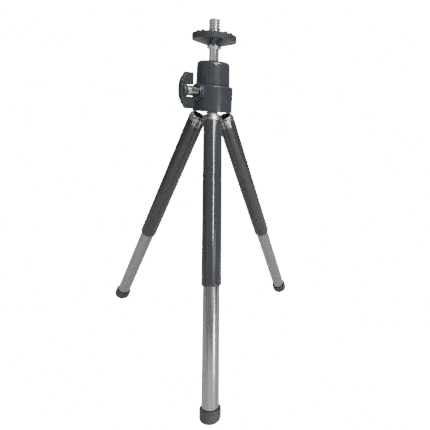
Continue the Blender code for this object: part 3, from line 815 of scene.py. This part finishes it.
def make_foot(side):
    rim = from_hinge(FOOT_RIM_DOWN)
    bottom = rim - FOOT_LENGTH
    floor = rim - FOOT_SOCKET_DEPTH
    socket = LOWER_RADIUS + FOOT_FIT
    inside = rounded([
        (0, floor),
        (socket, floor, ROUND_EDGE),
        (socket, rim, 0.12),
        (FOOT_RADIUS - 0.08, rim),
    ])
    outside = rounded([
        inside[-1],
        (FOOT_RADIUS, rim - 0.5, 0.4),
        (FOOT_RADIUS, bottom, FOOT_ROUNDING),
        (0, bottom),
    ], steps=14)
    sole = [(radius, bottom) for radius in reversed(levels(0, FOOT_RADIUS - SOLE_MARGIN, 0.1))]
    foot = lathe("foot", inside + outside[1:-1] + sole[1:], shape=foot_shape)
    name = f"rubber_foot_{side}_detailed"
    add_piece(name, foot, LEGS[side], "lower_leg_" + side, RUBBER, "rubber", "rubber_foot_" + side)


def make_pin(side):
    """A riveted hinge pin, its two domed heads sunk in the cap's bore."""
    dome = arc((0, PIN_HALF_LENGTH - 0.25), PIN_HEAD_DOME, math.pi / 2, 0, 6)
    half = [(PIN_HEAD_RADIUS * x / PIN_HEAD_DOME, y) for x, y in dome]
    half.append((PIN_HEAD_RADIUS, PIN_HALF_LENGTH - PIN_HEAD_THICKNESS))
    half.append((PIN_RADIUS, PIN_HALF_LENGTH - PIN_HEAD_THICKNESS - 0.2))
    mirrored = [(radius, -height) for radius, height in reversed(half)]
    pin = moved(lathe("pin", half + mirrored, 48), turned_about("X", 90))
    add_piece(f"hinge_pin_{side}_detailed", pin, LEGS[side], "leg_hub", CHROME, "chrome", "hinge_pin_" + side)


# ---- hub

def make_hub():
    """The plated boss under the head, with a rounded tongue to each hinge pin."""
    bore = HUB_SCREW_RADIUS + GAP
    top = -GAP
    bottom = top - HUB_HEIGHT
    ring = rounded([
        (HUB_RADIUS, top, 0.25), (HUB_RADIUS, bottom, 0.4), (bore, bottom, SOFT_EDGE), (bore, top, SOFT_EDGE),
    ], closed=True)
    hub = lathe("hub", ring, closed=True)
    tongues = []
    eyes = []
    for side in SIDES:
        pin = HEAD.inverted() @ LEGS[side].translation / MM
        reach = math.hypot(pin.x, pin.y)
        turn = turned_about("Z", math.degrees(math.atan2(pin.y, pin.x)))
        outline = arc((reach, pin.z), TONGUE_EYE_RADIUS, -math.pi / 2, math.pi / 2, 20)
        root = HUB_RADIUS - 1
        outline = [(root, pin.z - TONGUE_EYE_RADIUS)] + outline + [(root, pin.z + TONGUE_EYE_RADIUS)]
        tongues.append(moved(prism("tongue", outline, -TONGUE_THICKNESS / 2, TONGUE_THICKNESS / 2), turn))
        eye = rod("eye", PIN_RADIUS + 0.1, -PIN_HALF_LENGTH, PIN_HALF_LENGTH, 48)
        eye = moved(eye, turned_about("X", 90))
        eyes.append(moved(eye, turn @ Matrix.Translation((reach, 0, pin.z))))
    hub = combined(hub, "UNION", *tongues)
    hub = softened(combined(hub, "DIFFERENCE", *eyes), 0.16)
    add_piece("hub_detailed", hub, HEAD, "leg_hub", CHROME, "chrome", "hub")


def make_hub_fasteners():
    """The washer and the cross-head screw that hold the head on the hub."""
    top = -HUB_HEIGHT - 2 * GAP
    bottom = top - WASHER_THICKNESS
    inner = HUB_SCREW_RADIUS + GAP
    ring = rounded([
        (HUB_RADIUS, top, LIGHT_EDGE),
        (HUB_RADIUS, bottom, LIGHT_EDGE),
        (inner, bottom, FINE_EDGE),
        (inner, top, FINE_EDGE),
    ], closed=True)
    washer = lathe("washer", ring, closed=True)
    add_piece("hub_washer_detailed", washer, HEAD, "leg_hub", CHROME, "chrome", "hub_washer")

    head_top = bottom - GAP
    head_bottom = head_top - HUB_SCREW_HEAD_HEIGHT
    profile = rounded([
        (0, HUB_SCREW_DEPTH),
        (HUB_SCREW_RADIUS, HUB_SCREW_DEPTH, ROUND_EDGE),
        (HUB_SCREW_RADIUS, head_top, FINE_EDGE),
        (HUB_SCREW_HEAD_RADIUS, head_top, 0.12),
        (HUB_SCREW_HEAD_RADIUS, head_bottom, 0.9),
        (0, head_bottom),
    ], steps=6)
    screw = lathe("screw", profile)
    inner_reach = RECESS_REACH - RECESS_TAPER
    outline = [(-RECESS_REACH, head_bottom - 1), (RECESS_REACH, head_bottom - 1)]
    outline += [(inner_reach, head_bottom + 1), (-inner_reach, head_bottom + 1)]
    arms = [
        moved(prism("arm", outline, -RECESS_HALF_WIDTH, RECESS_HALF_WIDTH), turned_about("Z", turn))
        for turn in RECESS_TURNS
    ]
    screw = softened(combined(screw, "DIFFERENCE", *arms), 0.06)
    add_piece("hub_screw_detailed", screw, HEAD, "head", CHROME, "chrome", "hub_screw")


# ---- head

def to_clamp(mesh):
    """A mesh made round the clamp's axis, put in the head's frame."""
    local = HEAD.inverted() @ CLAMP
    mesh.transform(local)
    return mesh


def make_head_base():
    bore = SPIGOT_RADIUS + SPIGOT_FIT
    hole = HUB_SCREW_RADIUS + GAP
    ring = rounded([
        (BASE_RADIUS, BASE_HEIGHT, BASE_SHOULDER),
        (BASE_RADIUS, 0, 0.35),
        (hole, 0, SOFT_EDGE),
        (hole, BASE_FLOOR, SOFT_EDGE),
        (bore, BASE_FLOOR, ROUND_EDGE),
        (bore, BASE_HEIGHT, SOFT_EDGE),
    ], closed=True, steps=6)
    base = lathe("base", ring, FINE_STEPS, closed=True)
    boss_profile = rounded([
        (0, BOSS_END), (BOSS_RADIUS, BOSS_END, 0.5), (BOSS_RADIUS, BOSS_ROOT), (0, BOSS_ROOT),
    ])
    boss = to_clamp(lathe("boss", boss_profile))
    hole = to_clamp(rod("hole", INSERT_RADIUS + 0.1, SPIGOT_RADIUS / 2, BOSS_END + 1))
    base = combined(base, "UNION", boss)
    base = softened(combined(base, "DIFFERENCE", hole), 0.14)
    add_piece("head_base_detailed", base, HEAD, "head", PLASTIC, "black_plastic", "head_base")


def make_ball_socket():
    hollow = BALL_RADIUS + GAP
    lip_angle = math.acos(LIP_RADIUS / hollow)
    bottom = BASE_FLOOR + GAP
    skirt = BASE_HEIGHT + 0.12
    mouth_centre = (MOUTH_RADIUS + MOUTH_ROUNDING, CUP_TOP - MOUTH_ROUNDING)
    mouth = arc(mouth_centre, MOUTH_ROUNDING, math.pi, math.pi / 2, 6)
    flat_end = mouth[-1][0]
    shoulder = [
        (flat_end + (CUP_RADIUS_HIGH - flat_end) * x, CUP_TOP - CUP_ROUNDING * (1 - y))
        for x, y in arc((0, 0), 1, math.pi / 2, 0, 16)
    ]
    cup = mouth + shoulder[1:] + rounded([
        shoulder[-1],
        (CUP_RADIUS_LOW, skirt, 0.12),
        (SPIGOT_RADIUS, skirt),
        (SPIGOT_RADIUS, bottom, SOFT_EDGE),
        (hollow, bottom),
    ])[1:]
    ring = cup + arc((0, BALL_HEIGHT), hollow, 0, lip_angle, 14)
    socket = lathe("socket", ring, FINE_STEPS, closed=True)
    high = (SLOT_HALF_WIDTH, 2 * CUP_RADIUS_LOW, CUP_TOP + 1)
    slot = block("slot", (-SLOT_HALF_WIDTH, 0, BALL_HEIGHT), high)
    slot_end = moved(rod("slot_end", SLOT_HALF_WIDTH, 0, 2 * CUP_RADIUS_LOW), turned_about("X", -90))
    slot_end = moved(slot_end, Matrix.Translation((0, 0, BALL_HEIGHT)))
    cutter = combined(slot, "UNION", slot_end)
    bore = to_clamp(rod("bore", SHANK_RADIUS, SPIGOT_RADIUS / 2, SPIGOT_RADIUS + 1))
    socket = softened(combined(socket, "DIFFERENCE", cutter, bore), 0.3, 3)
    add_piece("ball_socket_detailed", socket, HEAD, "head", PLASTIC, "black_plastic", "ball_socket")


def make_ball():
    """The polished ball with the bore that holds the stem."""
    bore = STEM_SPIGOT_RADIUS + 0.05
    floor = BALL_RADIUS - STEM_SPIGOT_DEPTH - GAP
    neck = math.acos(BALL_NECK_RADIUS / BALL_RADIUS)
    profile = [(0, floor), (bore, floor), (bore, BALL_RADIUS - BALL_NECK_DEPTH)]
    profile.append((BALL_NECK_RADIUS, BALL_RADIUS * math.sin(neck)))
    profile += arc((0, 0), BALL_RADIUS, neck, -math.pi / 2, 60)[1:-1] + [(0, -BALL_RADIUS)]
    add_piece("ball_detailed", lathe("ball", profile), BALL, "ball_stem", CHROME, "chrome", "ball")


# ---- clamp

def thread_shape(pitch, depth, low, high, fade):
    """A shaping function that cuts a right-hand V thread with flat crests between two heights."""
    def shape(radius, height, angle):
        if not low <= height <= high:
            return radius, height
        turn = (height / pitch - angle / math.tau) % 1.0
        flank = abs(turn - 0.5) * 2
        cut = min(1.0, max(0.0, (flank - THREAD_CREST) / THREAD_FLANK))
        fading = min(1.0, (height - low) / fade, (high - height) / fade + 0.15)
        return radius - depth * cut * fading, height
    return shape


def make_insert():
    bore = CLAMP_THREAD_RADIUS + 0.12
    ring = rounded([
        (INSERT_RADIUS, INSERT_END, 0.25), (INSERT_RADIUS, INSERT_START, FINE_EDGE),
        (bore, INSERT_START, FINE_EDGE), (bore, INSERT_END, ROUND_EDGE),
    ], closed=True)
    insert = lathe("insert", ring, closed=True)
    add_piece("thread_insert_detailed", insert, CLAMP, "head", DARK_INSERT_PLATING, "chrome", "thread_insert")


def make_clamp_screw():
    """The clamp's screw: a fine thread, a plain shank, a collar and the tang in the knob."""
    thread_end = SHANK_START
    thread_start = CLAMP_TIP + CLAMP_TIP_CHAMFER
    profile = [(0, CLAMP_TIP), (CLAMP_THREAD_RADIUS - CLAMP_TIP_CHAMFER, CLAMP_TIP)]
    turns = levels(thread_start, thread_end, CLAMP_PITCH / 14)
    profile += [(CLAMP_THREAD_RADIUS, height) for height in turns]
    profile += rounded([
        (CLAMP_THREAD_RADIUS, thread_end),
        (SHANK_RADIUS, thread_end, 0.25),
        (SHANK_RADIUS, COLLAR_START - 0.6, ROUND_EDGE),
        (SHANK_RADIUS - SHANK_RELIEF, COLLAR_START - 0.3, SOFT_EDGE),
        (SHANK_RADIUS - SHANK_RELIEF, COLLAR_START, FINE_EDGE),
        (COLLAR_RADIUS, COLLAR_START, ROUND_EDGE),
        (COLLAR_RADIUS, COLLAR_END, ROUND_EDGE),
        (TANG_RADIUS, COLLAR_END, FINE_EDGE),
        (TANG_RADIUS, TANG_END, ROUND_EDGE),
        (0, TANG_END),
    ])[1:]
    cut = thread_shape(CLAMP_PITCH, CLAMP_THREAD_DEPTH, thread_start, thread_end, 0.5)
    screw = lathe("clamp_screw", profile, shape=cut)
    # The screw takes the darker plating, a painted dark reflection
    add_piece("clamp_screw_detailed", screw, CLAMP, "knob", PAINTED_DARK_REFLECTION_PLATING, "chrome", "clamp_screw")


def bowed_edge():
    """The wing's outer edge from below to above: a full bow with shallow grip scallops."""
    edge = []
    count = 12 * WING_SCALLOPS
    sweep = WING_HALF_HEIGHT - WING_TIP_ROUNDING
    for step in range(count + 1):
        share = 2 * step / count - 1
        bow = 1 - abs(share) ** WING_FULLNESS
        scallop = WING_SCALLOP_DEPTH * math.sin(math.pi * WING_SCALLOPS * step / count) ** 2
        edge.append((WING_CORNER + (WING_OUTER - WING_CORNER) * bow - scallop, sweep * share))
    return edge


def wing_outline():
    """The wing seen from its flat side, outward along x."""
    notch_depth = COLLAR_END + GAP
    corner = WING_TIP_ROUNDING
    edge = bowed_edge()
    outline = rounded([
        edge[-1],
        (WING_CORNER, WING_HALF_HEIGHT, corner),
        (WING_INNER, WING_HALF_HEIGHT, corner),
        (WING_INNER, WING_NOTCH, WING_NOTCH_ROUNDING),
        (notch_depth, WING_NOTCH, WING_NOTCH_ROUNDING),
        (notch_depth, -WING_NOTCH, WING_NOTCH_ROUNDING),
        (WING_INNER, -WING_NOTCH, WING_NOTCH_ROUNDING),
        (WING_INNER, -WING_HALF_HEIGHT, corner),
        (WING_CORNER, -WING_HALF_HEIGHT, corner),
        edge[0],
    ], steps=6)
    return edge + outline[1:-1]


def make_knob():
    """The wing knob: a bowed plate notched round the screw, with a domed hub on its tang."""
    wing = prism("wing", wing_outline(), -WING_THICKNESS / 2, WING_THICKNESS / 2)
    # The outline has outward along X and up along Z. The clamp's frame has outward along Z and up along X.
    wing = moved(wing, Matrix(((0, 0, 1, 0), (0, -1, 0, 0), (1, 0, 0, 0), (0, 0, 0, 1))))
    hub_profile = rounded([
        (0, KNOB_HUB_END),
        (KNOB_HUB_RADIUS, KNOB_HUB_END, 0.9),
        (KNOB_HUB_RADIUS, COLLAR_END + GAP, SOFT_EDGE),
        (0, COLLAR_END + GAP),
    ], steps=6)
    hub = lathe("knob_hub", hub_profile, 64)
    bore = rod("tang_bore", TANG_RADIUS + 0.1, WING_INNER, TANG_END + 0.1, 48)
    knob = combined(softened(wing, WING_EDGE_ROUNDING, 4), "UNION", hub)
    knob = combined(knob, "DIFFERENCE", bore)
    add_piece("clamp_knob_detailed", knob, CLAMP, "knob", KNOB_PAINT, "black_enamel", "clamp_knob")


# ---- stem, disc and pad

def make_camera_screw():
    """The stem, its flange and the quarter-inch thread of 20 turns an inch."""
    base = -BALL_HEIGHT
    spigot_end = BALL_RADIUS - STEM_SPIGOT_DEPTH
    shoulder = BALL_RADIUS + 0.05
    profile = rounded([
        (0, spigot_end),
        (STEM_SPIGOT_RADIUS, spigot_end, SOFT_EDGE),
        (STEM_SPIGOT_RADIUS, shoulder - 0.6),
        (STEM_RADIUS - 0.3, shoulder - 0.2),
        (STEM_RADIUS, shoulder + 0.2, SOFT_EDGE),
        (STEM_RADIUS, FLANGE_BOTTOM + base, LIGHT_EDGE),
        (FLANGE_RADIUS, FLANGE_BOTTOM + base, ROUND_EDGE),
        (FLANGE_RADIUS, FLANGE_TOP + base, ROUND_EDGE),
        (SCREW_RADIUS, FLANGE_TOP + base),
    ])
    low = FLANGE_TOP + base
    high = SCREW_TOP + base
    profile += [(SCREW_RADIUS, height) for height in levels(low, high - TIP_CHAMFER, SCREW_PITCH / 20)[1:]]
    for step in range(1, round(TIP_CHAMFER / TIP_STEP) + 1):
        profile.append((SCREW_RADIUS - TIP_STEP * step, high - TIP_CHAMFER + TIP_STEP * step))
    profile.append((0, high))
    thread = thread_shape(SCREW_PITCH, THREAD_DEPTH, low, high, THREAD_FADE)

    def threaded(radius, height, angle):
        if height <= low:
            return radius, height
        cut, height = thread(SCREW_RADIUS, height, angle)
        return min(radius, cut), height

    screw = lathe("screw", profile, shape=threaded)
    add_piece("camera_screw_detailed", screw, BALL, "ball_stem", CHROME, "chrome", "camera_screw")


def disc_shape(radius, height, angle):
    """Grip ribs round the disc's rim and flutes under its cone."""
    if radius > DISC_RADIUS - 0.5 and height < DISC_TOP - 0.02:
        rib = abs(math.sin(DISC_RIBS * angle / 2))
        radius -= RIB_DEPTH * (1 - rib) ** RIB_SHARPNESS
    under = DISC_HUB_RADIUS + 0.4 < radius < DISC_RADIUS - 0.7 and height < DISC_RIM_BOTTOM + 0.2
    if under:
        along = (radius - DISC_HUB_RADIUS) / (DISC_RADIUS - DISC_HUB_RADIUS)
        flute = 0.5 + 0.5 * math.cos(DISC_FLUTES * angle)
        height += FLUTE_DEPTH * flute ** 2 * math.sin(math.pi * along)
    return radius, height


def make_lock_disc():
    bore = SCREW_RADIUS + 0.1
    bed = PAD_RADIUS + PAD_FIT
    corners = rounded([
        (bed, DISC_TOP, LIGHT_EDGE),
        (DISC_RADIUS - 0.6, DISC_TOP, SOFT_EDGE),
        (DISC_RADIUS, DISC_TOP - 0.25, 0.25),
        (DISC_RADIUS, DISC_RIM_BOTTOM, 0.5),
        (DISC_RADIUS - 1.0, DISC_RIM_BOTTOM - 0.2),
    ], steps=4)
    corners[0:1] = arc((bed + 0.15, DISC_TOP - 0.15), 0.15, math.pi, math.pi / 2, 3)
    rim_start = corners[-1]
    corners += [
        (rim_start[0] + (DISC_HUB_RADIUS - rim_start[0]) * step / 16,
         rim_start[1] + (DISC_BOTTOM - rim_start[1]) * step / 16) for step in range(1, 16)
    ]
    corners += rounded([
        corners[-1],
        (DISC_HUB_RADIUS, DISC_BOTTOM, SOFT_EDGE),
        (bore, DISC_BOTTOM, 0.25),
        (bore, PAD_BED, FINE_EDGE),
        (bed, PAD_BED, FINE_EDGE), (bed, DISC_TOP - 0.15),
    ])[1:-1]
    wall = [(DISC_RADIUS, height) for height in levels(DISC_RIM_BOTTOM + 0.6, DISC_TOP - 0.9, 0.3)]
    split = [index for index, point in enumerate(corners) if point[1] < DISC_RIM_BOTTOM + 0.55][0]
    corners[split:split] = list(reversed(wall))
    disc = lathe("disc", corners, RIBBED_STEPS, closed=True, shape=disc_shape)
    add_piece("lock_disc_detailed", disc, HEAD, "disc", PLASTIC, "black_plastic", "lock_disc")


def pad_shape(radius, height, angle):
    """Raised nubs in a ring near the pad's rim."""
    if height < PAD_FACE - 0.01 or abs(radius - NUB_RING_RADIUS) > NUB_RADIUS:
        return radius, height
    turn = math.tau / PAD_NUBS
    offset = (angle - NUB_PHASE + turn / 2) % turn - turn / 2
    away = math.hypot(radius * math.cos(offset) - NUB_RING_RADIUS, radius * math.sin(offset)) / NUB_RADIUS
    rise = min(1.0, max(0.0, NUB_STEEPNESS * (1 - away * away)))
    return radius, height + (PAD_TOP - PAD_FACE) * (rise * rise * (3 - 2 * rise))


def make_rubber_pad():
    inner = SCREW_RADIUS + 2 * GAP
    bottom = PAD_BED + 0.1
    ring = [(radius, PAD_FACE) for radius in levels(inner + 0.2, NUB_RING_RADIUS - NUB_RADIUS - 0.1, 0.5)]
    low = NUB_RING_RADIUS - NUB_RADIUS
    ring += [(radius, PAD_FACE) for radius in levels(low, NUB_RING_RADIUS + NUB_RADIUS, 0.1)]
    ring += rounded([
        ring[-1],
        (PAD_RADIUS, PAD_FACE, FINE_EDGE),
        (PAD_RADIUS, bottom, FINE_EDGE),
        (inner, bottom, FINE_EDGE),
        (inner, PAD_FACE, LIGHT_EDGE),
        ring[0],
    ])[1:-1]
    pad = lathe("pad", ring, RIBBED_STEPS, closed=True, shape=pad_shape)
    add_piece("rubber_pad_detailed", pad, HEAD, "pad", RUBBER, "rubber", "rubber_pad")


def paint_hidden_nodes():
    """Materials for the CAD nodes that stay, inside the head and the legs."""
    hidden = {"ball_seat": NYLON, "brake_shoe": BRASS}
    hidden.update({"slide_bush_" + side: NYLON for side in SIDES})
    for node, material in hidden.items():
        slots = frame["nodes"][node].material_slots
        for slot in slots:
            slot.material = material


# ---- studio

def make_floor():
    """A large pale disc under the tripod: plain white where it is looked at, grey to the tripod itself."""
    name = "studio_floor"
    mesh = lathe(name, [(radius, 0) for radius in FLOOR_RINGS], 64)
    floor = bpy.data.objects.new(name, mesh)
    bpy.context.scene.collection.objects.link(floor)
    finish = Finish(name, on_cad_node=True)
    finish.colour(finish.colours(finish.noise(6), (0.48, 0.48, 0.48), (0.51, 0.51, 0.51)))
    finish.constants(Roughness=0.9, Specular_IOR_Level=0.1)
    finish.white_to_the_eye(BACKGROUND_WHITE)
    mesh.materials.append(finish.material)
    floor.location.z = CAD_BOX[0][2] - FLOOR_DROP * MM


def make_world():
    """Plain white behind the tripod. Its light and reflections come from a dim room with soft patches."""
    world = bpy.data.worlds.new("studio")
    bpy.context.scene.world = world
    world.use_nodes = True
    tree = world.node_tree
    output = tree.nodes["World Output"]
    room = tree.nodes["Background"]
    white = tree.nodes.new("ShaderNodeBackground")
    white.inputs["Color"].default_value = (1, 1, 1, 1)
    white.inputs["Strength"].default_value = BACKGROUND_WHITE
    room.inputs["Strength"].default_value = 1.0
    direction = tree.nodes.new("ShaderNodeTexCoord").outputs["Generated"]

    def lobe(azimuth, elevation, inner, outer, level):
        """Brightness of a soft patch of wall, by the angle from its middle."""
        dot = tree.nodes.new("ShaderNodeVectorMath")
        dot.operation = "DOT_PRODUCT"
        tree.links.new(direction, dot.inputs[0])
        dot.inputs[1].default_value = toward(azimuth, elevation)
        ranged = tree.nodes.new("ShaderNodeMapRange")
        ranged.interpolation_type = "SMOOTHSTEP"
        ranged.inputs["From Min"].default_value = math.cos(math.radians(outer))
        ranged.inputs["From Max"].default_value = math.cos(math.radians(inner))
        ranged.inputs["To Max"].default_value = level
        tree.links.new(dot.outputs["Value"], ranged.inputs["Value"])
        return ranged.outputs["Result"]

    total = None
    for patch in ROOM_PATCHES:
        value = lobe(*patch)
        if total is not None:
            plus = tree.nodes.new("ShaderNodeMath")
            tree.links.new(total, plus.inputs[0])
            tree.links.new(value, plus.inputs[1])
            value = plus.outputs["Value"]
        total = value
    tree.links.new(total, room.inputs["Color"])
    path = tree.nodes.new("ShaderNodeLightPath")
    mix = tree.nodes.new("ShaderNodeMixShader")
    tree.links.new(path.outputs["Is Camera Ray"], mix.inputs[0])
    tree.links.new(room.outputs["Background"], mix.inputs[1])
    tree.links.new(white.outputs["Background"], mix.inputs[2])
    tree.links.new(mix.outputs["Shader"], output.inputs["Surface"])


def toward(azimuth, elevation):
    """Unit vector towards a place in the room, from degrees of azimuth and elevation."""
    turn = VIEW_AZIMUTH + math.radians(azimuth)
    rise = math.radians(elevation)
    return Vector((math.cos(turn) * math.cos(rise), math.sin(turn) * math.cos(rise), math.sin(rise)))


def make_lamps():
    """Lamps round the head's axis, each facing the head."""
    for name, azimuth, distance, height, width, tall, power in LAMPS:
        light = bpy.data.lights.new(name, "AREA")
        light.shape = "RECTANGLE"
        light.size = width
        light.size_y = tall
        light.energy = power
        lamp = bpy.data.objects.new(name, light)
        bpy.context.scene.collection.objects.link(lamp)
        place = toward(azimuth, 0) * distance
        place.x += HEAD.translation.x
        place.y += HEAD.translation.y
        place.z = height
        out = (place - HEAD.translation).normalized()
        side = UP.cross(out).normalized()
        turn = Matrix((side, out.cross(side), out)).transposed().to_4x4()
        turn.translation = place
        lamp.matrix_world = turn


def make_camera():
    ahead = Vector((
        -math.sin(CAMERA_YAW) * math.cos(CAMERA_PITCH),
        math.cos(CAMERA_YAW) * math.cos(CAMERA_PITCH),
        -math.sin(CAMERA_PITCH),
    ))
    level_right = Vector((math.cos(CAMERA_YAW), math.sin(CAMERA_YAW), 0))
    level_up = level_right.cross(ahead)
    right = level_right * math.cos(CAMERA_ROLL) + level_up * math.sin(CAMERA_ROLL)
    up = level_up * math.cos(CAMERA_ROLL) - level_right * math.sin(CAMERA_ROLL)
    data = bpy.data.cameras.new("camera")
    data.lens = CAMERA_LENS
    data.shift_x, data.shift_y = CAMERA_SHIFT
    data.clip_start = 0.01
    camera = bpy.data.objects.new("camera", data)
    bpy.context.scene.collection.objects.link(camera)
    turn = Matrix((right, up, -ahead)).transposed().to_4x4()
    turn.translation = CAMERA_PLACE
    camera.matrix_world = turn
    bpy.context.scene.camera = camera


make_camera()
make_world()
make_lamps()
make_floor()
for leg_side in SIDES:
    make_cap(leg_side)
    make_outer_tube(leg_side)
    make_inner_tube(leg_side)
    make_foot(leg_side)
    make_pin(leg_side)
make_hub()
make_hub_fasteners()
make_head_base()
make_ball_socket()
make_ball()
make_insert()
make_clamp_screw()
make_knob()
make_camera_screw()
make_lock_disc()
make_rubber_pad()
paint_hidden_nodes()
